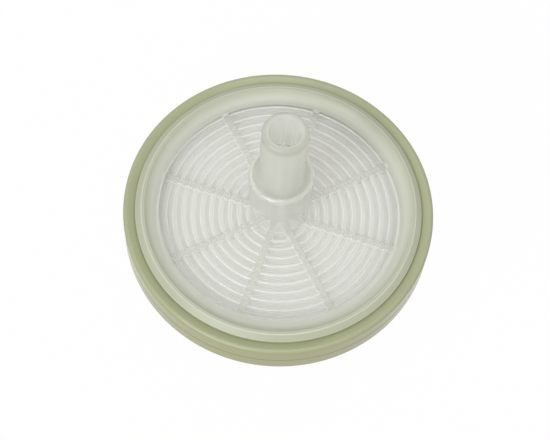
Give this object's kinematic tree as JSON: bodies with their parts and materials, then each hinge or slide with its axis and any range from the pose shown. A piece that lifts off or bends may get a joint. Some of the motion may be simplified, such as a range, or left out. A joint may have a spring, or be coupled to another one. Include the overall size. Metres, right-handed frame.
{
  "type": "syringe filter",
  "caption": "Round disc filter: two ribbed housing halves with stepped hose nipples press on a white membrane, held together by a moulded olive-tinted seal ring.",
  "frame": {"origin": "middle of the filter membrane, on the axis of both nipples", "axes": "+Z along the inlet nipple, towards its tip; +X along one of the radial channels"},
  "size_m": [0.06, 0.06, 0.0682],
  "materials": {
    "natural_plastic": "clear, slightly milky injection-moulded polypropylene",
    "filter_membrane": "matt white fibre filter disc",
    "olive_plastic": "satin olive-tinted moulded polypropylene"
  },
  "bodies": {
    "root": {"inlet_housing": "natural_plastic", "outlet_housing": "natural_plastic", "membrane": "filter_membrane", "seal_ring": "olive_plastic"}
  },
  "joints": []
}
